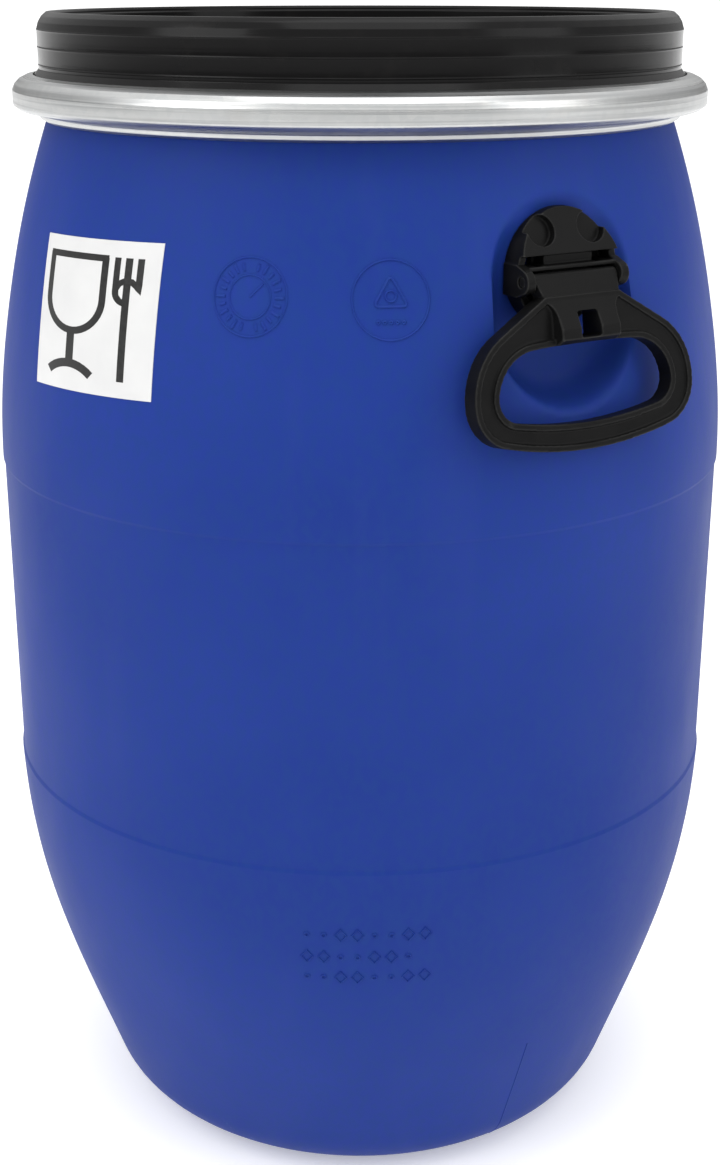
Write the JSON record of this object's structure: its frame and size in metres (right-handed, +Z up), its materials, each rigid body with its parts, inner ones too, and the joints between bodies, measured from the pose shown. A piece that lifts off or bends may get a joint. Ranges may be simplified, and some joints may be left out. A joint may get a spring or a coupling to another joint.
{
  "type": "plastic open head drum",
  "caption": "Barrel-shaped open head plastic drum with a clamped lid, a lever-lock steel ring and drop handles in side recesses.",
  "frame": {"origin": "centre of the base, on the surface that the drum stands on", "axes": "+Z up, handles on +X and -X, ring closure at +Y"},
  "size_m": [0.4164, 0.4, 0.6225],
  "materials": {
    "blue_body": "satin blow-moulded polyethylene",
    "black_lid": "glossy injection-moulded polyethylene",
    "gasket_rubber": "matt foam rubber",
    "galvanised_steel": "bright galvanised, fine rolling lines",
    "rivet_steel": "zinc plated",
    "black_handle": "matt black nylon",
    "label_film": "white film, printed pictogram"
  },
  "bodies": {
    "drum": {"drum_body": "blue_body", "handle_bracket_right": "black_handle", "handle_bracket_left": "black_handle", "label": "label_film"},
    "lid": {"lid": "black_lid", "lid_gasket": "gasket_rubber"},
    "ring": {"clamp_ring_band": "galvanised_steel", "lever_hinge_bracket": "galvanised_steel", "lever_pivot_rivets": "rivet_steel", "lever_keeper": "galvanised_steel"},
    "ring_end": {"catch_bracket": "galvanised_steel", "catch_pin": "rivet_steel"},
    "lever": {"lever": "galvanised_steel", "link_rivet": "rivet_steel"},
    "claw": {"claw_link": "galvanised_steel"},
    "grip_right": {"handle_grip_right": "black_handle"},
    "grip_left": {"handle_grip_left": "black_handle"}
  },
  "joints": [
    {"name": "lid_lift", "type": "slide", "parent": "drum", "child": "lid", "axis": [0, 0, 1], "range_m": [0, 0.1]},
    {"name": "ring_lift", "type": "slide", "parent": "drum", "child": "ring", "axis": [0, 0, 1], "range_m": [0, 0.2]},
    {"name": "lever_swing", "type": "hinge", "parent": "ring", "child": "lever", "pos_m": [-0.01298, 0.19036, 0.5806], "axis": [0, 0, -1], "range_deg": [0, 140]},
    {"name": "claw_swing", "type": "hinge", "parent": "lever", "child": "claw", "pos_m": [-0.02713, 0.18826, 0.5806], "axis": [0, 0, -1], "range_deg": [-137, 0]},
    {"name": "ring_spread", "type": "hinge", "parent": "ring", "child": "ring_end", "pos_m": [0, -0.1775, 0.5806], "axis": [0, 0, -1], "range_deg": [0, 3.6], "deforming": ["clamp_ring_band"]},
    {"name": "handle_swing_right", "type": "hinge", "parent": "drum", "child": "grip_right", "pos_m": [0.1885, 0, 0.508], "axis": [0, -1, 0], "range_deg": [0, 95]},
    {"name": "handle_swing_left", "type": "hinge", "parent": "drum", "child": "grip_left", "pos_m": [-0.1885, 0, 0.508], "axis": [0, 1, 0], "range_deg": [0, 95]}
  ],
  "couplings": [
    {"joint": "claw_swing", "follows": "lever_swing", "ratio": -0.97143},
    {"joint": "ring_spread", "follows": "lever_swing", "ratio": 0.025}
  ]
}
